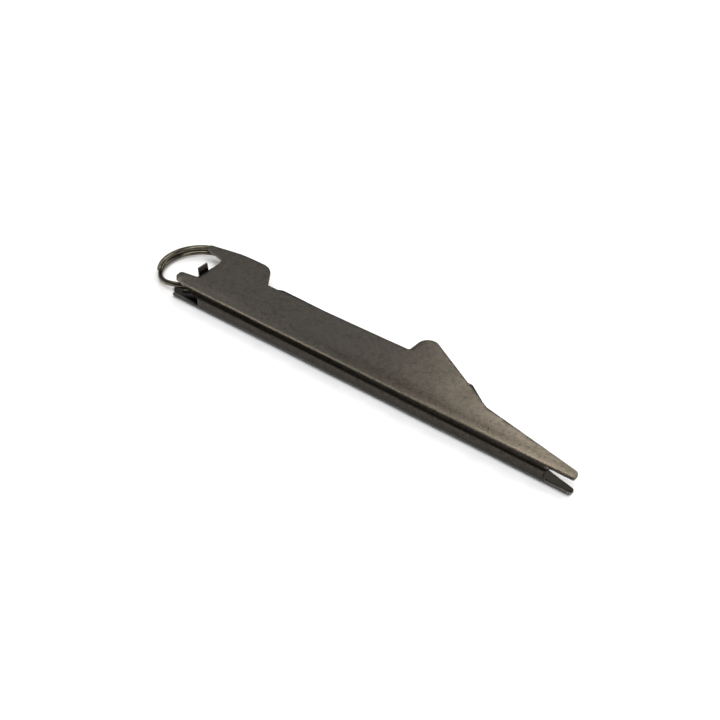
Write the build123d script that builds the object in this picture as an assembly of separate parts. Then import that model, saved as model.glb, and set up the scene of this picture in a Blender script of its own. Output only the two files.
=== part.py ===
from build123d import *
import math
import os

# Pocket line-knotting tool: one strip of thin steel folded lengthwise into a
# narrow channel. A lower leaf lies on the table, a spine stands along one side
# and an upper leaf lies over the lower one. Both leaves are cut into lobes, the
# tip is forked by a slot in the spine, and a tongue bent up from the lower leaf
# pens in a split ring at the rear.
#
# Stations run along the tool from the rear end of the strip, widths run
# across it from the outer face of the spine, heights run up from the table.
# All sizes are in millimetres.

# Strip and fold
length = 76.7               # rear end of the strip to the tip of the upper leaf
sheet = 0.3                 # thickness of the strip
fold_height = 3.2           # outside height over both leaves
bend_radius = 1.2           # outside radius of the two folds of the spine
squeeze_angle = 2.5         # how far fingers close the upper leaf, degrees
corner = 0.35               # small rounding of stamped corners
reach_past = 1.0            # how far the window's cutting shape passes the strip
rest_offset = 3.0           # middle of the resting face, from the fold's inner side

# Rear end: prongs, recess, tongue
recess_depth = 4.9          # station of the recess's inner edge, both leaves
recess_near = 3.5           # width at which the recess begins
recess_far = 9.3            # width at which the upper leaf's recess ends
recess_round = 1.2          # rounding of the recess's far inner corner
upper_prong_station = 1.8   # rear end of the upper leaf's near prong
lower_prong_station = 0.35  # rear end of the lower leaf's near prong
far_prong_near = 10.3       # near corner of the upper leaf's far prong
far_prong_far = 11.45       # far corner of the same prong
far_prong_slant = 0.5       # that prong's end, near corner to far corner
far_prong_round = 0.15      # rounding of its near corner
prong_chamfer = 0.7         # slanted near corner of the upper near prong
prong_round = 0.2           # rounding where that slant begins
prong_taper = 0.5           # the upper near prong is this much narrower at its end
lower_prong_chamfer = 1.4   # the same three sizes on the lower near prong
lower_prong_round = 0.3
lower_prong_taper = 0.3
lower_recess_round = 1.0    # far inner corner of the lower leaf's recess
tongue_width = 2.15
tongue_centre = 5.45        # width at the middle of the tongue
tongue_proud = 0.85         # how far it stands above the upper leaf
tongue_bend = 0.4           # radius of its bend, at mid-thickness
tongue_lean = 0.35          # how far its top leans to the rear
tongue_gap = 0.4            # upper leaf's recess edge to the tongue

# Upper leaf: head lobe, waist, fin, taper
head_width = 12.75
head_start = 6.2
head_end = 12.15
head_round = 3.2
head_bulge = 0.1            # the lobe is this much narrower where it starts
head_side_round = 8.0       # rounding of its long side
waist_start = 15.0
waist_rear_width = 8.75
waist_front_width = 9.45
fin_start = 42.25
fin_apex_width = 14.62      # where the fin's two straight edges would meet
fin_round = 1.75
shoulder_station = 59.0
shoulder_width = 5.6
shoulder_round = 1.5        # both leaves
tip_width = 2.15
tip_round = 0.9
tip_round_limit = 1.1       # most rounding at a tip, in widths of its leaf's flat part

# Lower leaf: one long lobe between the upper leaf's two
lower_tip_setback = 0.3
lower_tip_width = 1.75
lower_head_width = 9.8
lower_round = 0.6           # rounding of the lobe's ends and the tip
lobe_start = 13.4
lobe_rear_width = 12.35
lobe_round = 1.9
lobe_end = 52.4
lobe_front_width = 11.55
lower_shoulder_station = 62.2
lower_shoulder_width = 5.0

# Spine: open window at the rear, slot at the tip
window_end = 8.1            # station where the spine's wall begins
window_rise = 0.8           # each fold's kept height beside it, as a share of the fold
fold_cut_station = 6.5      # the upper fold's rear edge slants through this point
fold_cut_width = 0.35
lip_slant = 0.85            # slanted rear end of the lower fold
slot_length = 4.4           # from the upper leaf's tip
slot_turn_lower = 20.0      # how far round the lower fold the slot reaches, degrees
slot_turn_upper = 61.0      # and round the upper fold

# Split ring
ring_bore = 10.75           # inside diameter
ring_wire = 0.85            # wire diameter
ring_back = 3.4             # ring centre behind the tongue
ring_near = 0.725           # width of the ring's near side, inside the lower fold
ring_lay = 1.02             # spacing of the two coils, in wire diameters
ring_step_angle = 258.0     # direction of the cross-over from the centre, degrees
ring_step_span = 66.0       # angle that the cross-over takes
ring_over_leaf = 0.2        # ring to lower leaf
ring_to_table = 0.05        # ring's rear edge to the table
ring_to_upper = 0.08        # ring's front edge to the squeezed upper leaf

leaf_start = bend_radius
upper_face = fold_height - sheet
tongue_station = recess_depth - tongue_gap
ring_station = tongue_station - ring_back
ring_mean = (ring_bore + ring_wire) / 2
ring_reach = ring_mean + ring_wire / 2
ring_width = ring_near + ring_reach
ring_stack = ring_wire * (1 + ring_lay)


def plate(corners, bottom):
    """A flat leaf from (station, width, rounding) corners, one sheet thick."""
    points = [(station, width) for station, width, _ in corners]
    radii = [rounding for _, _, rounding in corners]
    outline = FilletPolyline(*points, radius=radii, close=True)
    return extrude(Pos(0, 0, bottom) * make_face(outline), sheet)


def tip_rounding(rounding, width):
    """A tip's rounding, limited by the flat part of the leaf there."""
    return min(rounding, tip_round_limit * (width - leaf_start))


def upper_outline():
    return [
        (upper_prong_station + prong_chamfer, leaf_start, prong_round),
        (upper_prong_station, leaf_start + prong_chamfer, corner),
        (upper_prong_station, recess_near - prong_taper, corner),
        (recess_depth, recess_near, corner),
        (recess_depth, recess_far, recess_round),
        (far_prong_slant, far_prong_near, far_prong_round),
        (0, far_prong_far, corner),
        (head_start, head_width - head_bulge, head_side_round),
        (head_end, head_width, head_round),
        (waist_start, waist_rear_width, corner),
        (fin_start, waist_front_width, corner),
        (fin_start, fin_apex_width, fin_round),
        (shoulder_station, shoulder_width, shoulder_round),
        (length, tip_width, tip_rounding(tip_round, tip_width)),
        (length, leaf_start, 0),
    ]


def lower_outline():
    tip = length - lower_tip_setback
    return [
        (lower_prong_station + lower_prong_chamfer, leaf_start, lower_prong_round),
        (lower_prong_station, leaf_start + lower_prong_chamfer, corner),
        (lower_prong_station, recess_near - lower_prong_taper, prong_round),
        (recess_depth, recess_near, corner),
        (recess_depth, lower_head_width, lower_recess_round),
        (lobe_start, lower_head_width, lower_round),
        (lobe_start, lobe_rear_width, lobe_round),
        (lobe_end, lobe_front_width, lower_round),
        (lower_shoulder_station, lower_shoulder_width, shoulder_round),
        (tip, lower_tip_width, tip_rounding(lower_round, lower_tip_width)),
        (tip, leaf_start, 0),
    ]


def fold_face(inset):
    """The channel's side view filled in, its outline moved inwards by inset."""
    reach = 2 * bend_radius
    radius = bend_radius - inset
    outline = FilletPolyline(
        (reach, inset), (inset, inset), (inset, fold_height - inset), (reach, fold_height - inset),
        radius=[0, radius, radius, 0], close=True,
    )
    return make_face(outline)


def make_channel():
    """Spine wall with both folds, over the whole length."""
    open_side = Pos(1.5 * bend_radius, fold_height / 2) * Rectangle(bend_radius, fold_height)
    section = fold_face(0) - fold_face(sheet) - open_side
    return extrude(Plane.YZ * section, length)


def make_window_tool():
    """Rear window in the spine's wall, with the slanted rear ends of both folds."""
    low, rise = -reach_past, window_rise * bend_radius
    lip_start = lower_prong_station + lower_prong_chamfer
    prong_start = upper_prong_station + prong_chamfer
    wall = Polyline(
        (low, low), (lip_start, low), (lip_start, 0), (lip_start + lip_slant, rise),
        (window_end, rise), (window_end, fold_height - rise), (low, fold_height - rise), (low, low),
    )
    fold = Polyline(
        (low, low), (window_end, low), (window_end, 0), (fold_cut_station, fold_cut_width),
        (prong_start, leaf_start), (prong_start, 2 * leaf_start), (low, 2 * leaf_start), (low, low),
    )
    opening = extrude(Plane.XZ * make_face(wall), 2 * bend_radius, both=True)
    return opening + extrude(Pos(0, 0, fold_height / 2) * make_face(fold), fold_height)


def make_slot_tool():
    """Tip slot: round-ended along the tool, its edges square to the folded sheet."""
    reach = 2 * bend_radius
    (side_low, fall), (side_high, rise) = (
        (reach * math.cos(math.radians(turn)), reach * math.sin(math.radians(turn)))
        for turn in (slot_turn_lower, slot_turn_upper)
    )
    low, high = bend_radius, fold_height - bend_radius
    across = Polyline(
        (bend_radius, low), (bend_radius - side_low, low - fall), (-bend_radius, low - fall),
        (-bend_radius, high + rise), (bend_radius - side_high, high + rise),
        (bend_radius, high), (bend_radius, low),
    )
    end_radius = fold_height / 2
    end_centre = length - slot_length + end_radius
    along = Plane.XZ * (
        Pos(end_centre, end_radius) * Circle(end_radius)
        + Pos(end_centre + slot_length, end_radius) * Rectangle(2 * slot_length, 2 * end_radius)
    )
    return extrude(Plane.YZ * make_face(across), 2 * length) & extrude(along, reach, both=True)


def make_spine():
    """Wall and folds, with the rear window and the tip slot cut away."""
    shorter = Pos(length, 0, 0) * Box(2 * lower_tip_setback, 4 * bend_radius, fold_height)
    return make_channel() - make_window_tool() - make_slot_tool() - shorter


def make_tongue():
    """Middle prong of the lower leaf, bent up through the upper leaf's recess."""
    middle = sheet / 2
    path = FilletPolyline(
        (recess_depth, 0, middle),
        (tongue_station, 0, middle),
        (tongue_station - tongue_lean, 0, fold_height + tongue_proud),
        radius=tongue_bend,
    )
    start = Plane(origin=(recess_depth, 0, middle), x_dir=(0, 1, 0), z_dir=(-1, 0, 0))
    bent = sweep(start * Rectangle(tongue_width, sheet), path=path)
    return Pos(0, tongue_centre, 0) * bent


def make_ring():
    """Two coils of round wire, joined by one cross-over strand."""
    step = ring_wire * ring_lay / 2
    first = math.radians(ring_step_angle - ring_step_span / 2)
    last = math.radians(ring_step_angle + ring_step_span / 2)
    wire = Plane.XZ * Circle(ring_wire / 2)
    coils = [
        Rot(0, 0, math.degrees(last))
        * revolve(Pos(ring_mean, 0, height) * wire, Axis.Z, 360 - ring_step_span)
        for height in (-step, step)
    ]
    points = []
    for share in (0, 0.25, 0.5, 0.75, 1):
        turn = first + share * (last - first)
        height = -step * math.cos(math.pi * share)
        points.append((ring_mean * math.cos(turn), ring_mean * math.sin(turn), height))
    along = [(-math.sin(turn), math.cos(turn), 0) for turn in (first, last)]
    strand = Spline(*points, tangents=along)
    end = Plane(origin=points[0], z_dir=along[0])
    return coils[0] + coils[1] + sweep(end * Circle(ring_wire / 2), path=strand)


def place_ring(ring):
    """Lean the ring from the table at its rear to just under the upper leaf."""
    seat = sheet + ring_over_leaf
    rear_room = seat - ring_to_table
    squeeze_drop = (ring_width - leaf_start) * math.tan(math.radians(squeeze_angle))
    front_room = upper_face - squeeze_drop - ring_to_upper - seat - ring_stack
    lean = math.degrees(math.asin(max(min(rear_room, front_room), 0) / ring_reach))
    return Pos(ring_station, ring_width, seat + ring_stack / 2) * Rot(0, -lean, 0) * ring


nodes = {
    "lower_leaf": plate(lower_outline(), 0),
    "tongue": make_tongue(),
    "spine": make_spine(),
    "upper_leaf": plate(upper_outline(), upper_face),
    "split_ring": place_ring(make_ring()),
}

box = Compound([solid for shape in nodes.values() for solid in shape.solids()]).bounding_box()
to_origin = Pos(-box.center().X, -box.center().Y, -box.min.Z)

os.makedirs("parts", exist_ok=True)
for name, shape in nodes.items():
    export_step(to_origin * shape, f"parts/{name}.step")

for label, point in {
    "squeeze hinge": (length / 2, leaf_start, upper_face),
    "ring swing": (tongue_station, tongue_centre, fold_height / 2),
    "resting face": (length / 2, bend_radius + rest_offset, 0),
}.items():
    placed = to_origin * Pos(*point)
    print(label, [round(value, 3) for value in placed.position])
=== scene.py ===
"""Looks of a pocket line-knotting tool: a folded strip of black-oxide steel and a split ring.

The strip is meshed as one flat blank, folded into its channel and thickened. Stations run
along the tool from the strip's rear end, widths run across it from the spine's outer face,
heights run up from the table. Sizes are given in millimetres and built in metres.
"""

from __future__ import annotations

import logging
import math
from dataclasses import dataclass
from enum import Enum
from typing import Iterable, Sequence

import bmesh
import bpy
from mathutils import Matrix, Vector, noise
from mathutils.geometry import delaunay_2d_cdt


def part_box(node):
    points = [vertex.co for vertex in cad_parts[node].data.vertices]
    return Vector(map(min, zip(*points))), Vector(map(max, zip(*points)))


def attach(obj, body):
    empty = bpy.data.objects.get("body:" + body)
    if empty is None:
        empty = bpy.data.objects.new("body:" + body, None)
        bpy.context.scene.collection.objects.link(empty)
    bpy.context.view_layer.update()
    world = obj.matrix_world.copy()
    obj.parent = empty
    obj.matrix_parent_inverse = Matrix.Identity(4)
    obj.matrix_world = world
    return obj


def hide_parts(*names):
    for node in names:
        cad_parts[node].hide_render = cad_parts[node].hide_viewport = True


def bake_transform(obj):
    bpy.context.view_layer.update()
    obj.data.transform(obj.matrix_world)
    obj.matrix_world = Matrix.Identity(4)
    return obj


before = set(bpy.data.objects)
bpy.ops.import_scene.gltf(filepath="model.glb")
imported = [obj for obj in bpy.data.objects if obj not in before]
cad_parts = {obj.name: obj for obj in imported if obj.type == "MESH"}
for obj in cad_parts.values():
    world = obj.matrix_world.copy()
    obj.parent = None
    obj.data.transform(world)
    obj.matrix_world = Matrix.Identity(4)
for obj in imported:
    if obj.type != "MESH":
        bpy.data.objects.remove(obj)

LOG = logging.getLogger("knot_tool")
MM = 0.001
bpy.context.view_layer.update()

Point2 = tuple[float, float]
Span = tuple[float, float]
Corner = tuple[float, float, float]
Colour = tuple[float, float, float, float]


class Body(Enum):
    """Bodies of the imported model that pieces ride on."""

    STRIP = "folded_strip"
    UPPER = "upper_leaf"
    RING = "split_ring"


class Slot(Enum):
    """Material slots of the record."""

    STRIP = "strip"
    RING = "ring"


class Mark(Enum):
    """Point attributes that the strip's mesh hands to its material."""

    # The paler crest band: partly wear, partly painted highlight.
    CREST_WEAR_AND_SHEEN = "crest_wear_and_sheen"
    # Painted shade inside the channel and under the lower fold.
    PAINTED_SHADE = "painted_shade"


# ---------------------------------------------------------------------------
# Colour and shader helpers
# ---------------------------------------------------------------------------


def linear(hex_colour: str) -> Colour:
    """Turn an sRGB hex colour into linear RGBA.

    Args:
        hex_colour: six hex digits, such as "4a4743".

    Returns:
        The colour in linear light, with alpha 1.
    """
    channels = []
    for start in (0, 2, 4):
        value = int(hex_colour[start:start + 2], 16) / 255
        channels.append(value / 12.92 if value <= 0.04045 else ((value + 0.055) / 1.055) ** 2.4)
    return (channels[0], channels[1], channels[2], 1.0)


def per_metre(size_mm: float) -> float:
    """Find the texture scale that gives features of a size, in object space.

    Args:
        size_mm: size of the features in millimetres.

    Returns:
        The scale, in features per metre.
    """
    return 1.0 / (size_mm * MM)


def add_node(
    tree: bpy.types.NodeTree,
    kind: str,
    settings: dict[str, object] | None = None,
    links: dict[str, bpy.types.NodeSocket] | None = None,
    **inputs: object,
) -> bpy.types.Node:
    """Add one shader node with its properties, socket values and links.

    Args:
        tree: the node tree to add to.
        kind: the node's type name.
        settings: the node's own properties.
        links: input name to the socket that feeds it.
        **inputs: socket values by name, with "_" for a space.

    Returns:
        The new node.
    """
    node = tree.nodes.new(kind)
    for name, value in (settings or {}).items():
        setattr(node, name, value)
    for name, value in inputs.items():
        node.inputs[name.replace("_", " ")].default_value = value
    for name, socket in (links or {}).items():
        tree.links.new(socket, node.inputs[name])
    return node


def add_ramp(
    tree: bpy.types.NodeTree,
    source: bpy.types.NodeSocket,
    stops: Sequence[tuple[float, Colour]],
) -> bpy.types.NodeSocket:
    """Add a colour ramp fed by source.

    Args:
        tree: the node tree to add to.
        source: the value that the ramp reads.
        stops: (position, linear colour) pairs in rising order.

    Returns:
        The ramp's colour.
    """
    ramp = add_node(tree, "ShaderNodeValToRGB", links={"Fac": source})
    elements = ramp.color_ramp.elements
    while len(elements) < len(stops):
        elements.new(0.5)
    for element, (position, colour) in zip(elements, stops):
        element.position = position
        element.color = colour
    return ramp.outputs["Color"]


def feed(
    tree: bpy.types.NodeTree,
    socket: bpy.types.NodeSocket,
    value: bpy.types.NodeSocket | Colour | float,
) -> None:
    """Feed a socket with another node's output or with a constant.

    Args:
        tree: the node tree that holds the socket.
        socket: the input to feed.
        value: the output to link, or the constant to set.
    """
    if isinstance(value, bpy.types.NodeSocket):
        tree.links.new(value, socket)
    else:
        socket.default_value = value


def add_math(
    tree: bpy.types.NodeTree, operation: str, *values: bpy.types.NodeSocket | float
) -> bpy.types.NodeSocket:
    """Add a maths node.

    Args:
        tree: the node tree to add to.
        operation: what it does with its values.
        *values: outputs or constants, in order.

    Returns:
        The result.
    """
    node = add_node(tree, "ShaderNodeMath", {"operation": operation})
    for socket, value in zip(node.inputs, values):
        feed(tree, socket, value)
    return node.outputs[0]


def add_mix(
    tree: bpy.types.NodeTree,
    factor: bpy.types.NodeSocket | float,
    first: bpy.types.NodeSocket,
    second: bpy.types.NodeSocket | Colour,
    blend_type: str = "MIX",
) -> bpy.types.NodeSocket:
    """Mix two colours.

    Args:
        tree: the node tree to add to.
        factor: share of the second colour.
        first: the first colour.
        second: the second colour.
        blend_type: how the second colour is laid over the first.

    Returns:
        The mixed colour.
    """
    node = add_node(tree, "ShaderNodeMix", {"data_type": "RGBA", "blend_type": blend_type})
    # Several of the node's sockets share a name, so the colour ones are found by place.
    for place, value in zip((0, 6, 7), (factor, first, second)):
        feed(tree, node.inputs[place], value)
    return node.outputs[2]


def add_noise(
    tree: bpy.types.NodeTree,
    place: bpy.types.NodeSocket,
    size_mm: float,
    detail: float,
    roughness: float,
) -> bpy.types.NodeSocket:
    """Add a noise texture.

    Args:
        tree: the node tree to add to.
        place: the coordinates that it is read at.
        size_mm: size of its features in millimetres.
        detail: how many finer layers it has.
        roughness: how strong the finer layers are.

    Returns:
        The noise's value, about 0.5 on average.
    """
    texture = add_node(
        tree, "ShaderNodeTexNoise", links={"Vector": place},
        Scale=per_metre(size_mm), Detail=detail, Roughness=roughness,
    )
    return texture.outputs["Fac"]


def add_range(
    tree: bpy.types.NodeTree, source: bpy.types.NodeSocket, reads: Span, gives: Span
) -> bpy.types.NodeSocket:
    """Add a node that maps one span of values to another.

    Args:
        tree: the node tree to add to.
        source: the value that it reads.
        reads: span of the source's values.
        gives: span of the results.

    Returns:
        The mapped value.
    """
    node = add_node(tree, "ShaderNodeMapRange", links={"Value": source})
    for name, value in zip(("From Min", "From Max", "To Min", "To Max"), (*reads, *gives)):
        node.inputs[name].default_value = value
    return node.outputs["Result"]


def start_finish(
    name: str, metallic: float
) -> tuple[bpy.types.Material, bpy.types.Node, bpy.types.NodeSocket]:
    """Start a material with its shader and its object-space coordinates.

    Args:
        name: the material's name.
        metallic: 1 for bare or plated metal, 0 for anything else.

    Returns:
        The material, its shader and the socket of its coordinates.
    """
    material = bpy.data.materials.new(name)
    material.use_nodes = True
    tree = material.node_tree
    shader = tree.nodes["Principled BSDF"]
    shader.inputs["Metallic"].default_value = metallic
    return material, shader, add_node(tree, "ShaderNodeTexCoord").outputs["Object"]


# ---------------------------------------------------------------------------
# Finishes
# ---------------------------------------------------------------------------


@dataclass(frozen=True)
class BlackOxideSteel:
    """Cold-rolled steel strip, blackened in a hot oxide bath and lightly oiled.

    The bath etches the rolled surface a little, so it looks like satin graphite: a dark,
    faintly brown grey with a fine mottle, soft reflections and a few specks.
    """

    name: str = "black_oxide_steel"
    deep: str = "2b2926"
    pale: str = "3f3b35"
    # Paler colour of the crest band: partly bared metal, partly painted highlight.
    bared_and_sheen: str = "655f54"
    # Colour of the painted shade inside the channel and under the lower fold.
    painted_shade: str = "1b1a18"
    roughness: float = 0.25
    mottle_mm: float = 0.6
    grain_mm: float = 0.16
    rub_mm: float = 6.0
    speck_mm: float = 2.6
    grain_share: float = 0.9
    mottle_span: Span = (0.74, 1.0)
    speck_span: Span = (0.035, 0.06)
    speck_tone: float = 0.35
    speck_strength: float = 0.7
    bare_span: Span = (0.38, 0.6)
    handled_span: Span = (0.3, 0.7)
    smoother: float = 0.03
    rougher: float = 0.05
    # Extra roughness where the painted shade lies.
    shade_roughness: float = 0.12
    relief: float = 0.45
    relief_mm: float = 0.012

    def build(self) -> bpy.types.Material:
        """Make the material.

        Returns:
            The blackened steel's material.
        """
        material, shader, place = start_finish(self.name, metallic=1.0)
        tree = material.node_tree

        # Crystals of the oxide bath: uneven patches under a much finer grain. The true grain
        # is finer still; it is drawn at a size that shows.
        mottle = add_noise(tree, place, self.mottle_mm, detail=4.0, roughness=0.65)
        grain = add_noise(tree, place, self.grain_mm, detail=2.0, roughness=0.6)
        blend = add_math(tree, "MULTIPLY_ADD", grain, self.grain_share, mottle)
        dark_end, pale_end = self.mottle_span
        colour = add_ramp(
            tree, blend, [(dark_end, linear(self.deep)), (pale_end, linear(self.pale))]
        )
        # Specks where scale kept the bath off.
        specks = add_node(
            tree, "ShaderNodeTexVoronoi", {"feature": "F1"}, {"Vector": place},
            Scale=per_metre(self.speck_mm), Randomness=1.0,
        )
        speck_end, clear_end = self.speck_span
        spot = add_ramp(
            tree, specks.outputs["Distance"],
            [(speck_end, (*[self.speck_tone] * 3, 1.0)), (clear_end, (1.0, 1.0, 1.0, 1.0))],
        )
        tinted = add_mix(tree, self.speck_strength, colour, spot, "MULTIPLY")
        # A paler band along the crest of the upper fold, set where the crest's highlight falls:
        # partly worn oxide, partly painted highlight.
        crest = add_node(tree, "ShaderNodeAttribute", {"attribute_name": Mark.CREST_WEAR_AND_SHEEN.value})
        broken = add_range(tree, grain, self.bare_span, (0.0, 1.0))
        wear_and_sheen_share = add_math(tree, "MULTIPLY", crest.outputs["Fac"], broken)
        worn = add_mix(tree, wear_and_sheen_share, tinted, linear(self.bared_and_sheen))
        # Painted shade: the faces inside the channel and the underside of the lower fold, where
        # shade falls, are painted darker and made a little rougher.
        shade_mark = add_node(tree, "ShaderNodeAttribute", {"attribute_name": Mark.PAINTED_SHADE.value})
        shade_share = shade_mark.outputs["Fac"]
        shaded_colour = add_mix(tree, shade_share, worn, linear(self.painted_shade))
        tree.links.new(shaded_colour, shader.inputs["Base Color"])

        # Handling polishes wide soft patches.
        handled = add_range(
            tree, add_noise(tree, place, self.rub_mm, detail=3.0, roughness=0.5),
            self.handled_span, (self.roughness - self.smoother, self.roughness + self.rougher),
        )
        roughness_with_shade = add_math(tree, "MULTIPLY_ADD", shade_share, self.shade_roughness, handled)
        tree.links.new(roughness_with_shade, shader.inputs["Roughness"])

        relief = add_node(
            tree, "ShaderNodeBump", links={"Height": blend},
            Strength=self.relief, Distance=self.relief_mm * MM,
        )
        tree.links.new(relief.outputs["Normal"], shader.inputs["Normal"])
        return material


@dataclass(frozen=True)
class BurnishedEdge:
    """Sheared edge of the same strip, tumbled after blanking.

    Tumbling rounds the corners and rubs the oxide thin, so the rim shows as a fine line
    that is a little paler and shinier than the faces.
    """

    name: str = "burnished_edge"
    colour: str = "4d4a45"
    worn: str = "68635b"
    roughness: float = 0.3
    streak_mm: float = 0.5
    streak_span: Span = (0.4, 0.7)
    rougher: float = 0.1
    smoother: float = 0.08

    def build(self) -> bpy.types.Material:
        """Make the material.

        Returns:
            The rim's material.
        """
        material, shader, place = start_finish(self.name, metallic=1.0)
        tree = material.node_tree
        # Shear marks and rubbed spots along the rim.
        streak = add_noise(tree, place, self.streak_mm, detail=3.0, roughness=0.6)
        dark_end, worn_end = self.streak_span
        colour = add_ramp(
            tree, streak, [(dark_end, linear(self.colour)), (worn_end, linear(self.worn))]
        )
        tree.links.new(colour, shader.inputs["Base Color"])
        rough = add_range(
            tree, streak, (0.0, 1.0), (self.roughness + self.rougher, self.roughness - self.smoother)
        )
        tree.links.new(rough, shader.inputs["Roughness"])
        return material


@dataclass(frozen=True)
class BlackNickelWire:
    """Spring-steel wire, drawn, coiled and barrel-plated in black nickel.

    The plate is thin and bright: it mirrors the room in dark, slightly olive tones and
    wears to a paler metal where the coils rub.
    """

    name: str = "black_nickel_wire"
    plate: str = "49463c"
    rubbed: str = "6f6a5b"
    roughness: float = 0.17
    wear_mm: float = 1.4
    wear_span: Span = (0.42, 0.72)
    peel_mm: float = 0.1
    peel: float = 0.12
    peel_height_mm: float = 0.006
    smoother: float = 0.04
    rougher: float = 0.1

    def build(self) -> bpy.types.Material:
        """Make the material.

        Returns:
            The ring's material.
        """
        material, shader, place = start_finish(self.name, metallic=1.0)
        tree = material.node_tree
        wear = add_noise(tree, place, self.wear_mm, detail=4.0, roughness=0.6)
        plate_end, rubbed_end = self.wear_span
        colour = add_ramp(
            tree, wear, [(plate_end, linear(self.plate)), (rubbed_end, linear(self.rubbed))]
        )
        tree.links.new(colour, shader.inputs["Base Color"])
        rough = add_range(
            tree, wear, (0.0, 1.0), (self.roughness - self.smoother, self.roughness + self.rougher)
        )
        tree.links.new(rough, shader.inputs["Roughness"])
        # Barrel plating leaves a slight orange peel.
        peel = add_noise(tree, place, self.peel_mm, detail=1.0, roughness=0.5)
        relief = add_node(
            tree, "ShaderNodeBump", links={"Height": peel},
            Strength=self.peel, Distance=self.peel_height_mm * MM,
        )
        tree.links.new(relief.outputs["Normal"], shader.inputs["Normal"])
        return material


@dataclass(frozen=True)
class WhiteSweep:
    """Matt white paper sweep that the tool lies on: even, with no shine."""

    name: str = "white_paper"
    pale: str = "f9f9f9"
    shade: str = "f4f4f4"
    fibre_mm: float = 3.0
    fibre_span: Span = (0.3, 0.7)

    def build(self) -> bpy.types.Material:
        """Make the material.

        Returns:
            The paper's material.
        """
        material, shader, place = start_finish(self.name, metallic=0.0)
        tree = material.node_tree
        shader.inputs["Roughness"].default_value = 1.0
        shader.inputs["Specular IOR Level"].default_value = 0.0
        fibre = add_noise(tree, place, self.fibre_mm, detail=2.0, roughness=0.5)
        shade_end, pale_end = self.fibre_span
        colour = add_ramp(
            tree, fibre, [(shade_end, linear(self.shade)), (pale_end, linear(self.pale))]
        )
        tree.links.new(colour, shader.inputs["Base Color"])
        return material


# ---------------------------------------------------------------------------
# Flat outlines
# ---------------------------------------------------------------------------


def rounded_outline(corners: Sequence[Corner], step_deg: float = 9.0) -> list[Point2]:
    """Round the corners of a closed polygon.

    Args:
        corners: (x, y, radius) in order round the polygon.
        step_deg: largest turn between two points of an arc.

    Returns:
        The points of the rounded outline.
    """
    outline: list[Point2] = []
    count = len(corners)
    for index, (x, y, radius) in enumerate(corners):
        here = Vector((x, y))
        back = (Vector(corners[index - 1][:2]) - here).normalized()
        ahead = (Vector(corners[(index + 1) % count][:2]) - here).normalized()
        turn = math.pi - back.angle(ahead)
        if radius <= 0 or turn < 1e-4:
            outline.append((x, y))
            continue
        setback = radius * math.tan(turn / 2)
        centre = here + (back + ahead).normalized() * radius / math.cos(turn / 2)
        start = here + back * setback - centre
        steps = max(2, math.ceil(math.degrees(turn) / step_deg))
        sense = 1 if (-back).x * ahead.y - (-back).y * ahead.x > 0 else -1
        for step in range(steps + 1):
            angle = sense * turn * step / steps
            cos, sin = math.cos(angle), math.sin(angle)
            outline.append((
                centre.x + start.x * cos - start.y * sin,
                centre.y + start.x * sin + start.y * cos,
            ))
    return outline


def resampled(outline: Sequence[Point2], spacing: float) -> list[Point2]:
    """Divide the long edges of a closed outline evenly.

    Args:
        outline: points of the closed outline.
        spacing: longest edge to leave whole.

    Returns:
        The outline with points added.
    """
    points: list[Point2] = []
    for (x0, y0), (x1, y1) in zip(outline, list(outline[1:]) + [outline[0]]):
        pieces = max(1, math.ceil(math.hypot(x1 - x0, y1 - y0) / spacing))
        for piece in range(pieces):
            share = piece / pieces
            points.append((x0 + (x1 - x0) * share, y0 + (y1 - y0) * share))
    return points


def inside(point: Point2, outline: Sequence[Point2]) -> bool:
    """Tell whether a point is inside a closed outline.

    Args:
        point: the point to test.
        outline: points of the closed outline.

    Returns:
        True if it is inside.
    """
    x, y = point
    hit = False
    for (x0, y0), (x1, y1) in zip(outline, list(outline[1:]) + [outline[0]]):
        if (y0 > y) != (y1 > y) and x < x0 + (y - y0) * (x1 - x0) / (y1 - y0):
            hit = not hit
    return hit


def shade_smooth(mesh: bpy.types.Mesh, angle_deg: float) -> None:
    """Shade a mesh smooth, keeping edges sharper than an angle crisp.

    Args:
        mesh: the mesh to shade.
        angle_deg: turn at which an edge stays sharp.
    """
    mesh.shade_smooth()
    mesh.set_sharp_from_angle(angle=math.radians(angle_deg))


# ---------------------------------------------------------------------------
# The folded strip
# ---------------------------------------------------------------------------


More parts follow.
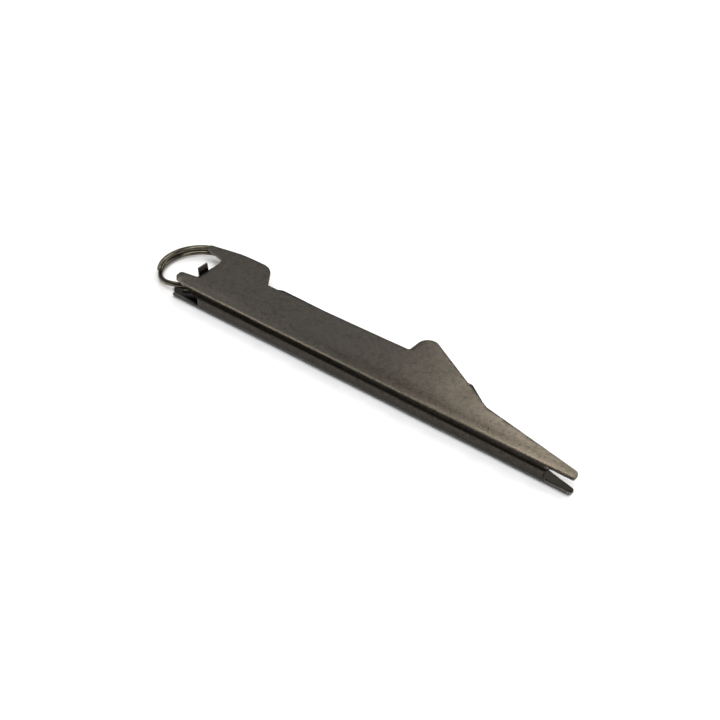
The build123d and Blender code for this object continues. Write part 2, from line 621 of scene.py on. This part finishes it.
@dataclass
class FoldedStrip:
    """The one-piece strip: lower leaf, spine and upper leaf, with its bent-up tongue.

    Sizes are in millimetres and turns in degrees. A corner is (station, width, rounding).
    """

    length: float = 76.7
    sheet: float = 0.3
    fold_height: float = 3.2
    bend_radius: float = 1.2
    corner: float = 0.35

    # The upper leaf, from the tip to the rear.
    tip_width: float = 2.15
    tip_round: float = 0.9
    shoulder: Corner = (59.0, 5.6, 1.5)
    fin_start: float = 42.25
    fin_width: float = 14.62
    fin_round: float = 1.75
    fin_foot: float = 9.45
    waist: Corner = (15.0, 8.75, 0.35)
    head_crown: Corner = (12.15, 12.75, 3.2)
    head_side: Corner = (6.2, 12.65, 8.0)
    far_prong: Corner = (0.0, 11.45, 0.35)
    far_prong_hook: Corner = (0.5, 10.3, 0.15)
    recess_depth: float = 4.9
    recess_near: float = 3.5
    recess_far: float = 9.3
    recess_round: float = 1.2
    upper_prong: float = 1.8
    prong_slope: float = 0.5
    prong_chamfer: float = 0.7
    prong_root_round: float = 0.2

    # The lower leaf, from the rear to the tip.
    lower_prong: float = 0.35
    lower_prong_chamfer: float = 1.4
    lower_prong_slope: float = 0.3
    lower_prong_round: float = 0.2
    lower_recess_far: float = 9.8
    lower_recess_round: float = 1.0
    belly_foot_round: float = 0.6
    belly_rear: Corner = (13.4, 12.35, 1.9)
    belly_front: Corner = (52.4, 11.55, 0.6)
    lower_shoulder: Corner = (62.2, 5.0, 1.5)
    lower_tip_width: float = 1.75
    lower_tip_round: float = 0.6
    lower_tip_setback: float = 0.3

    # The tongue, bent up from the lower leaf.
    tongue_width: float = 2.15
    tongue_centre: float = 5.45
    tongue_proud: float = 0.85
    tongue_bend: float = 0.4
    tongue_lean: float = 0.35
    tongue_gap: float = 0.4
    tongue_root: float = 0.02
    tongue_ease: float = 0.9

    # The rear window, the cut fold beside it and the slot at the tip.
    window_end: float = 8.1
    window_turn: float = 13.2
    window_round: float = 0.25
    fold_cut_station: float = 6.5
    fold_cut_turn: float = 35.9
    fold_cut_round: float = 0.5
    lip_slant: float = 0.85
    lip_round: float = 0.3
    slot_length: float = 4.4
    slot_turn_lower: float = 20.0
    slot_turn_upper: float = 61.0
    slot_round_lower: float = 0.25
    slot_round_upper: float = 0.3

    # The sheet's own unevenness, and its drop beside the upper fold.
    margin_drop: float = 0.16
    margin_width: float = 2.6
    ripple: float = 0.035
    ripple_along: float = 0.09
    ripple_across: float = 0.22
    ripple_seed: float = 4.7
    ripple_finer: float = 3.1
    ripple_share: float = 0.5

    # The mesh.
    grid: float = 0.9
    clear_share: float = 0.22
    merge: float = 1e-5
    mesh_reach: float = 14.0
    fold_steps: int = 12
    slot_steps: int = 16
    tongue_steps: int = 10
    tongue_step_deg: float = 7.5
    rim: float = 0.05
    rim_segments: int = 2
    rim_profile: float = 0.6
    sharp_deg: float = 40.0

    # Paler band along the upper fold's crest (partly wear, partly painted highlight), and painted
    # shade inside the channel and underneath.
    crest_turn: float = 16.0
    crest_spread: float = 13.0
    crest_fade: float = 1.0
    inner_facing: float = 0.3
    underside_gain: float = 4.0
    underside_shade: float = 0.85

    # Heights where the squeeze starts and ends its blend, as shares of the fold's height.
    blend_low: float = 0.25
    blend_high: float = 0.8

    @property
    def web_half(self) -> float:
        """Half the height of the spine's flat wall."""
        return self.fold_height / 2 - self.bend_radius

    @property
    def fold_radius(self) -> float:
        """Fold radius at mid-thickness."""
        return self.bend_radius - self.sheet / 2

    @property
    def fold_arc(self) -> float:
        """Length of one fold at mid-thickness."""
        return math.pi / 2 * self.fold_radius

    def across(self, width: float) -> float:
        """Find where a width on a leaf lies on the flat blank.

        Args:
            width: width from the spine's outer face.

        Returns:
            Distance across the blank from the spine's middle.
        """
        return self.web_half + self.fold_arc + width - self.bend_radius

    def round_fold(self, turn: float) -> float:
        """Find where a turn of a fold lies on the flat blank.

        Args:
            turn: turn from the spine's wall, in degrees.

        Returns:
            Distance across the blank from the spine's middle.
        """
        return self.web_half + math.radians(turn) * self.fold_radius

    def upper_corners(self) -> list[Corner]:
        """List the corners of the upper leaf and its half of the spine.

        Returns:
            Corners of the blank, from the tip to the rear.
        """
        near = self.bend_radius
        leaf = [
            (self.length, self.tip_width, self.tip_round),
            self.shoulder,
            (self.fin_start, self.fin_width, self.fin_round),
            (self.fin_start, self.fin_foot, self.corner),
            self.waist,
            self.head_crown,
            self.head_side,
            self.far_prong,
            self.far_prong_hook,
            (self.recess_depth, self.recess_far, self.recess_round),
            (self.recess_depth, self.recess_near, self.corner),
            (self.upper_prong, self.recess_near - self.prong_slope, self.corner),
            (self.upper_prong, near + self.prong_chamfer, self.corner),
            (self.upper_prong + self.prong_chamfer, near, self.prong_root_round),
        ]
        placed = [(station, self.across(width), radius) for station, width, radius in leaf]
        return [
            (self.length, self.round_fold(self.slot_turn_upper), self.slot_round_upper),
            *placed,
            (self.fold_cut_station, self.round_fold(self.fold_cut_turn), self.fold_cut_round),
            (self.window_end, self.round_fold(self.window_turn), self.window_round),
        ]

    def lower_corners(self) -> list[Corner]:
        """List the corners of the lower leaf and its half of the spine.

        Returns:
            Corners of the blank, from the rear to the tip.
        """
        near = self.bend_radius
        tip = self.length - self.lower_tip_setback
        lip = self.lower_prong + self.lower_prong_chamfer
        edge = -self.round_fold(self.window_turn)
        taper = self.recess_near - self.lower_prong_slope
        leaf = [
            (lip, near, self.lip_round),
            (self.lower_prong, near + self.lower_prong_chamfer, self.corner),
            (self.lower_prong, taper, self.lower_prong_round),
            (self.recess_depth, self.recess_near, self.corner),
            (self.recess_depth, self.lower_recess_far, self.lower_recess_round),
            (self.belly_rear[0], self.lower_recess_far, self.belly_foot_round),
            self.belly_rear,
            self.belly_front,
            self.lower_shoulder,
            (tip, self.lower_tip_width, self.lower_tip_round),
        ]
        placed = [(station, -self.across(width), radius) for station, width, radius in leaf]
        return [
            (self.window_end, edge, self.window_round),
            (lip + self.lip_slant, edge, self.lip_round),
            *placed,
            (tip, -self.round_fold(self.slot_turn_lower), self.slot_round_lower),
        ]

    def slot_end(self) -> list[Corner]:
        """Round the inner end of the tip slot.

        Returns:
            Points of the blank, from the slot's lower edge to its upper edge.
        """
        low = -self.round_fold(self.slot_turn_lower)
        high = self.round_fold(self.slot_turn_upper)
        depth = self.fold_height / 2
        centre = self.length - self.slot_length + depth
        points = []
        for step in range(self.slot_steps + 1):
            across = low + (high - low) * step / self.slot_steps
            rise = self.folded(centre, across).z - depth
            points.append((centre - math.sqrt(max(depth ** 2 - rise ** 2, 0.0)), across, 0.0))
        return points

    def blank(self) -> list[Point2]:
        """Draw the flat blank.

        Returns:
            Points of its closed outline, in station and distance across.
        """
        corners = [*self.upper_corners(), *self.lower_corners(), *self.slot_end()]
        return resampled(rounded_outline(corners), self.grid / 2)

    def rows(self) -> list[float]:
        """Choose the mesh's rows, which are closer together round the folds.

        Returns:
            Distances across the blank, from the lower leaf to the upper leaf.
        """
        half = [0.0, self.web_half]
        half += [
            self.web_half + self.fold_arc * step / self.fold_steps
            for step in range(1, self.fold_steps + 1)
        ]
        reach = self.across(self.mesh_reach)
        while half[-1] + self.grid < reach:
            half.append(half[-1] + self.grid)
        return sorted({*half, *(-value for value in half)})

    def folded(self, station: float, across: float) -> Vector:
        """Place a point of the blank's mid-surface on the folded strip.

        Args:
            station: distance from the rear end.
            across: distance from the spine's middle, upwards positive.

        Returns:
            (station, width, height) in millimetres.
        """
        side = 1 if across >= 0 else -1
        past = abs(across) - self.web_half
        if past <= 0:
            width, rise = self.sheet / 2, abs(across)
            normal = Vector((0, -1, 0))
        elif past <= self.fold_arc:
            angle = past / self.fold_radius
            width = self.bend_radius - self.fold_radius * math.cos(angle)
            rise = self.web_half + self.fold_radius * math.sin(angle)
            normal = Vector((0, -math.cos(angle), side * math.sin(angle)))
        else:
            width = self.bend_radius + past - self.fold_arc
            rise = self.web_half + self.fold_radius
            normal = Vector((0, 0, side))
        spot = Vector((
            station * self.ripple_along, across * self.ripple_across, self.ripple_seed
        ))
        wave = noise.noise(spot) + self.ripple_share * noise.noise(spot * self.ripple_finer)
        # The sheet begins to curve down a little before the upper fold.
        share = min(max(past / self.fold_arc, 0.0), 1.0)
        share = min(share, max(0.0, 1 - (width - self.bend_radius) / self.margin_width) ** 2)
        rise -= self.margin_drop * share if side > 0 else 0.0
        place = Vector((station, width, self.fold_height / 2 + side * rise))
        return place + normal * self.ripple * wave

    def blank_mesh(self) -> tuple[list[Vector], list[Sequence[int]]]:
        """Mesh the flat blank and fold it.

        Returns:
            Points on the folded mid-surface, in millimetres, and faces.
        """
        outline = self.blank()
        clear = self.grid * self.clear_share
        points = [Vector(point) for point in outline]
        stations = [self.grid * step for step in range(int(self.length / self.grid) + 1)]
        for row in self.rows():
            for station in stations:
                spot = (station, row)
                near = any(math.hypot(x - station, y - row) < clear for x, y in outline)
                if not near and inside(spot, outline):
                    points.append(Vector(spot))
        loop = list(range(len(outline)))
        flat, _, faces, *_ = delaunay_2d_cdt(points, [], [loop], 1, self.merge)
        return [self.folded(point.x, point.y) for point in flat], list(faces)

    def tongue_mesh(self) -> tuple[list[Vector], list[Sequence[int]]]:
        """Mesh the tongue's mid-surface, from its root to its top.

        Returns:
            Points in millimetres and faces.
        """
        middle = self.sheet / 2
        station = self.recess_depth - self.tongue_gap
        top = self.fold_height + self.tongue_proud
        corners = [
            (self.recess_depth + self.tongue_root, middle, 0.0),
            (station, middle, self.tongue_bend),
            (station - self.tongue_lean, top, 0.0),
        ]
        path = rounded_outline(corners, self.tongue_step_deg)
        steps = self.tongue_steps
        points, faces = [], []
        for index, (x, z) in enumerate(path):
            for step in range(steps + 1):
                share = step / steps - 0.5
                # The top corners are eased, so the last row is a little narrower.
                ease = self.tongue_ease if index == len(path) - 1 else 1.0
                width = self.tongue_centre + share * self.tongue_width * ease
                points.append(Vector((x, width, z)))
        for index in range(len(path) - 1):
            for step in range(steps):
                first = index * (steps + 1) + step
                faces.append((first, first + 1, first + steps + 2, first + steps + 1))
        return points, faces

    def thicken(
        self, name: str, points: Iterable[Vector], faces: Iterable[Sequence[int]], origin: Vector
    ) -> bpy.types.Object:
        """Turn a mid-surface into a sheet with tumbled edges.

        Args:
            name: the piece's name.
            points: mid-surface points in millimetres.
            faces: faces of the mid-surface.
            origin: where station, width and height are zero, in metres.

        Returns:
            The finished object.
        """
        mesh = bpy.data.meshes.new(name)
        mesh.from_pydata([origin + point * MM for point in points], [], list(faces))
        mesh.update()
        piece = bpy.data.objects.new(name, mesh)
        bpy.context.scene.collection.objects.link(piece)
        solid = piece.modifiers.new("sheet", "SOLIDIFY")
        solid.thickness = self.sheet * MM
        solid.offset = 0.0
        solid.use_even_offset = True
        solid.material_offset_rim = 1
        for finish in (STEEL, EDGE):
            mesh.materials.append(finish)
        view = bpy.context.evaluated_depsgraph_get()
        thick = bpy.data.meshes.new_from_object(piece.evaluated_get(view))
        piece.modifiers.clear()
        piece.data = thick

        body = bmesh.new()
        body.from_mesh(thick)
        bmesh.ops.recalc_face_normals(body, faces=body.faces)
        rims = [
            edge for edge in body.edges
            if len(edge.link_faces) == 2
            and len({face.material_index for face in edge.link_faces}) == 2
        ]
        bmesh.ops.bevel(
            body, geom=rims, offset=self.rim * MM, segments=self.rim_segments,
            profile=self.rim_profile, affect="EDGES", material=1, clamp_overlap=True,
        )
        body.to_mesh(thick)
        body.free()
        shade_smooth(thick, self.sharp_deg)
        for mark in Mark:
            thick.attributes.new(mark.value, "FLOAT", "POINT")
        # The paler crest band, partly wear and partly painted highlight.
        crest_wear_and_sheen = thick.attributes[Mark.CREST_WEAR_AND_SHEEN.value].data
        # Painted shade inside the channel and under the lower fold.
        shade_mark = thick.attributes[Mark.PAINTED_SHADE.value].data
        for vertex in thick.vertices:
            place = (vertex.co - origin) / MM
            crest_wear_and_sheen[vertex.index].value = self.rubbed(place)
            shade_mark[vertex.index].value = self.painted_shade_at(place, vertex.normal)
        return piece

    def painted_shade_at(self, point: Vector, normal: Vector) -> float:
        """Tell how much painted shade a point gets.

        Args:
            point: station, width and height in millimetres.
            normal: the surface's direction there.

        Returns:
            1 on the channel's inner face, less on the underside, 0 elsewhere.
        """
        middle = min(max(point.z, self.bend_radius), self.fold_height - self.bend_radius)
        inward = Vector((0, max(self.bend_radius - point.y, 0.0), middle - point.z))
        # Faces turned into the channel get the full painted shade.
        if normal.dot(inward.normalized()) > self.inner_facing:
            return 1.0
        # Under the lower fold the painted shade grows as the face turns down, up to a cap.
        if point.z < self.bend_radius:
            return min(max(-normal.z * self.underside_gain, 0.0), self.underside_shade)
        return 0.0

    def rubbed(self, point: Vector) -> float:
        """Tell how strong the paler crest band is at a point: partly rubbed oxide, partly painted
        highlight.

        Args:
            point: station, width and height in millimetres.

        Returns:
            0 away from the upper fold, up to 1 along the crest of the upper fold.
        """
        across = self.bend_radius - point.y
        up = point.z - (self.fold_height - self.bend_radius)
        if across <= -self.crest_fade or up <= 0:
            return 0.0
        turn = math.degrees(math.atan2(across, up))
        return math.exp(-((turn - self.crest_turn) / self.crest_spread) ** 2)

    def make(self, origin: Vector) -> list[bpy.types.Object]:
        """Build the folded strip and its tongue, and set the tongue on the strip's body.

        Args:
            origin: where station, width and height are zero, in metres.

        Returns:
            The strip and the tongue.
        """
        strip = self.thicken("folded_strip_sheet", *self.blank_mesh(), origin)
        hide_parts("lower_leaf", "spine", "upper_leaf")
        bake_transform(strip)

        tongue = self.thicken("bent_up_tongue", *self.tongue_mesh(), origin)
        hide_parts("tongue")
        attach(tongue, Body.STRIP.value)
        return [strip, tongue]


# ---------------------------------------------------------------------------
# The split ring
# ---------------------------------------------------------------------------


@dataclass
class SplitRing:
    """A split ring: one wire, two coils, with a cross-over strand between its ends.

    Sizes are in millimetres and angles in degrees. lay is the height from one coil to the
    next and flat the height of the wire's section, both as shares of the wire.
    """

    wire: float = 0.85
    lay: float = 1.02
    flat: float = 0.9
    step_angle: float = 258.0
    step_span: float = 66.0
    end_gap: float = 1.5
    path_steps: int = 260
    sides: int = 20
    sharp_deg: float = 50.0
    cropped: tuple[Span, ...] = ((0.0, 1.0), (0.05, 0.95), (0.07, 0.86))

    def lean_and_radius(self, low: Vector, high: Vector) -> tuple[float, float]:
        """Work out the ring's lean and mean radius from its box.

        Args:
            low: lowest corner of its box, in metres.
            high: highest corner.

        Returns:
            Lean in radians and mean radius in metres.
        """
        size = high - low
        reach = size.y / 2
        stack = self.wire * (1 + self.lay) * MM
        lean = math.asin(max(0.0, size.z - stack) / (2 * reach))
        return lean, reach - self.wire * MM / 2

    def path(self, radius: float) -> list[Vector]:
        """Centre line of the wire, flat on its own plane.

        Args:
            radius: mean radius in metres.

        Returns:
            Points from one wire end to the other.
        """
        first = self.step_angle - self.step_span / 2
        last = self.step_angle + self.step_span / 2
        rise = self.wire * self.lay * MM / 2
        start, stop = last - 360 + self.end_gap, first + 360 - self.end_gap
        points = []
        for step in range(self.path_steps + 1):
            angle = start + (stop - start) * step / self.path_steps
            share = min(max((angle - first) / (last - first), 0.0), 1.0)
            height = -rise * math.cos(math.pi * share)
            turn = math.radians(angle)
            points.append(Vector((radius * math.cos(turn), radius * math.sin(turn), height)))
        return points

    def wire_mesh(self, radius: float) -> bmesh.types.BMesh:
        """Sweep the wire's section along its centre line, flat on its own plane.

        Args:
            radius: mean radius in metres.

        Returns:
            The closed wire, round the origin.
        """
        path = self.path(radius)
        body = bmesh.new()
        loops = []
        half = self.wire * MM / 2
        last = len(path) - 1
        for index, point in enumerate(path):
            before, after = path[max(index - 1, 0)], path[min(index + 1, last)]
            ahead = (after - before).normalized()
            up = ahead.cross(Vector((point.x, point.y, 0))).normalized()
            inward = ahead.cross(up).normalized()
            for inset, shrink in self.end_rings(index, last):
                loop = []
                for side in range(self.sides):
                    angle = 2 * math.pi * side / self.sides
                    # Drawn wire for split rings is pressed a little flat on its coil faces.
                    tall = max(-self.flat, min(self.flat, math.sin(angle)))
                    offset = (inward * math.cos(angle) + up * tall) * half * shrink
                    loop.append(body.verts.new(point + offset + ahead * inset * MM))
                loops.append(loop)
        for one, two in zip(loops, loops[1:]):
            for side in range(self.sides):
                following = (side + 1) % self.sides
                body.faces.new((one[side], one[following], two[following], two[side]))
        body.faces.new(loops[0][::-1])
        body.faces.new(loops[-1])
        bmesh.ops.recalc_face_normals(body, faces=body.faces)
        return body

    def end_rings(self, index: int, last: int) -> list[Span]:
        """List the loops at a path point: narrower ones round off the wire's two ends.

        Args:
            index: the path point.
            last: index of the final path point.

        Returns:
            (distance along the wire in millimetres, share of the radius) pairs.
        """
        if index == 0:
            return [(-inset, shrink) for inset, shrink in reversed(self.cropped)]
        if index == last:
            return list(self.cropped)
        return [(0.0, 1.0)]

    def make(self, node: str) -> bpy.types.Object:
        """Build the ring where the CAD ring lies.

        Args:
            node: the CAD ring's node name.

        Returns:
            The ring.
        """
        low, high = (Vector(corner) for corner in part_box(node))
        lean, radius = self.lean_and_radius(low, high)
        centre = (low + high) / 2
        body = self.wire_mesh(radius)
        cos, sin = math.cos(lean), math.sin(lean)
        for vert in body.verts:
            x, y, z = vert.co
            vert.co = centre + Vector((x * cos - z * sin, y, x * sin + z * cos))
        mesh = bpy.data.meshes.new("split_ring_wire")
        body.to_mesh(mesh)
        body.free()
        mesh.materials.append(WIRE)
        shade_smooth(mesh, self.sharp_deg)
        ring = bpy.data.objects.new("split_ring_wire", mesh)
        bpy.context.scene.collection.objects.link(ring)
        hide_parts(node)
        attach(ring, Body.RING.value)
        return ring


# ---------------------------------------------------------------------------
# Studio
# ---------------------------------------------------------------------------


def stand(
    name: str, data: bpy.types.ID, aim: Vector, azimuth: float, elevation: float, distance: float
) -> bpy.types.Object:
    """Stand a light or a camera at a distance from a point, facing it.

    Args:
        name: the object's name.
        data: the light's or the camera's data.
        aim: the point that it faces.
        azimuth: its direction round the vertical, in degrees from +x.
        elevation: its height over the horizon, in degrees.
        distance: how far it stands, in metres.

    Returns:
        The placed object.
    """
    turn, lift = math.radians(azimuth), math.radians(elevation)
    level = math.cos(lift)
    towards = Vector((level * math.cos(turn), level * math.sin(turn), math.sin(lift)))
    placed = bpy.data.objects.new(name, data)
    placed.location = aim + towards * distance
    placed.rotation_euler = towards.to_track_quat("Z", "Y").to_euler()
    bpy.context.scene.collection.objects.link(placed)
    return placed


@dataclass(frozen=True)
class Softbox:
    """One soft light: where it stands, its size in metres and how bright its face is."""

    name: str
    azimuth: float
    elevation: float
    distance: float
    width: float
    height: float
    radiance: float
    colour: str = "ffffff"

    def make(self, aim: Vector) -> bpy.types.Object:
        """Build the light, facing the aim point.

        Args:
            aim: the point it faces.

        Returns:
            The light object.
        """
        data = bpy.data.lights.new(self.name, "AREA")
        data.shape = "RECTANGLE"
        data.size, data.size_y = self.width, self.height
        data.energy = self.radiance * math.pi * self.width * self.height
        data.color = linear(self.colour)[:3]
        return stand(self.name, data, aim, self.azimuth, self.elevation, self.distance)


# Two warm cards stand close behind the tool and are mirrored near its tip, so that the upper
# leaf darkens towards the rear.
SOFTBOXES = (
    Softbox("tip_card", 107.0, 44.5, 0.235, 0.085, 0.085, 5.2, "fff8ee"),
    Softbox("tip_card_high", 99.0, 53.0, 0.235, 0.12, 0.12, 2.0, "fff8ee"),
    Softbox("middle_card", 129.0, 36.0, 0.9, 0.24, 0.16, 0.9),
    Softbox("front_fill", -60.0, 66.0, 0.9, 0.8, 0.6, 4.8),
    Softbox("back_card", 142.0, 30.0, 1.0, 0.7, 0.5, 0.66),
    Softbox("rear_card", 156.0, 50.0, 0.9, 0.36, 0.42, 2.6),
    Softbox("side_card", 45.0, 20.0, 1.0, 0.8, 0.4, 3.5),
    Softbox("end_card", -20.0, 24.0, 1.0, 0.7, 0.4, 2.5),
)


@dataclass
class Studio:
    """White sweep, soft lights and the camera, which faces the middle of the tool."""

    aim_station: float = 35.58
    aim_width: float = 6.15
    azimuth: float = -50.8
    elevation: float = 37.2
    distance: float = 0.2342
    lens: float = 78.45
    sensor: float = 36.0
    clip_start: float = 0.01
    floor_gap: float = 0.02
    floor_size: float = 6.0
    ambient: str = "ffffff"
    ambient_strength: float = 0.13

    def floor(self) -> bpy.types.Object:
        """Lay the paper just under the tool.

        Returns:
            The floor.
        """
        mesh = bpy.data.meshes.new("paper_sweep")
        half, height = self.floor_size / 2, -self.floor_gap * MM
        corners = [(-half, -half), (half, -half), (half, half), (-half, half)]
        mesh.from_pydata([(x, y, height) for x, y in corners], [], [(0, 1, 2, 3)])
        mesh.materials.append(WhiteSweep().build())
        paper = bpy.data.objects.new("paper_sweep", mesh)
        bpy.context.scene.collection.objects.link(paper)
        return paper

    def lights(self, aim: Vector) -> list[bpy.types.Object]:
        """Set the soft lights and the dim room round them.

        Args:
            aim: the point that the lights face.

        Returns:
            The lights.
        """
        world = bpy.data.worlds.new("studio_room")
        world.use_nodes = True
        background = world.node_tree.nodes["Background"]
        background.inputs["Color"].default_value = linear(self.ambient)
        background.inputs["Strength"].default_value = self.ambient_strength
        bpy.context.scene.world = world
        return [box.make(aim) for box in SOFTBOXES]

    def camera(self, aim: Vector) -> bpy.types.Object:
        """Stand the camera over the spine's side, near the tip.

        Args:
            aim: the point in the middle of the view.

        Returns:
            The camera.
        """
        data = bpy.data.cameras.new("view")
        data.sensor_width = self.sensor
        data.lens = self.lens
        data.clip_start = self.clip_start
        camera = stand("view", data, aim, self.azimuth, self.elevation, self.distance)
        bpy.context.scene.camera = camera
        return camera


STEEL = BlackOxideSteel().build()
EDGE = BurnishedEdge().build()
WIRE = BlackNickelWire().build()


def main() -> None:
    """Build the studio, the strip and the ring, and report each piece."""
    logging.basicConfig(level=logging.INFO, format="%(message)s")
    bpy.context.scene.view_settings.view_transform = "Standard"

    strip = FoldedStrip()
    tip = Vector(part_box("upper_leaf")[1]).x
    spine_low = Vector(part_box("spine")[0])
    origin = Vector((tip - strip.length * MM, spine_low.y, spine_low.z))

    studio = Studio()
    aim = origin + Vector((studio.aim_station, studio.aim_width, 0.0)) * MM
    studio.camera(aim)
    studio.floor()
    studio.lights(aim)
    for piece in strip.make(origin):
        LOG.info("strip piece %s: %d faces", piece.name, len(piece.data.polygons))
    ring = SplitRing().make("split_ring")
    LOG.info("ring piece %s: %d faces", ring.name, len(ring.data.polygons))


if __name__ == "__main__":
    main()
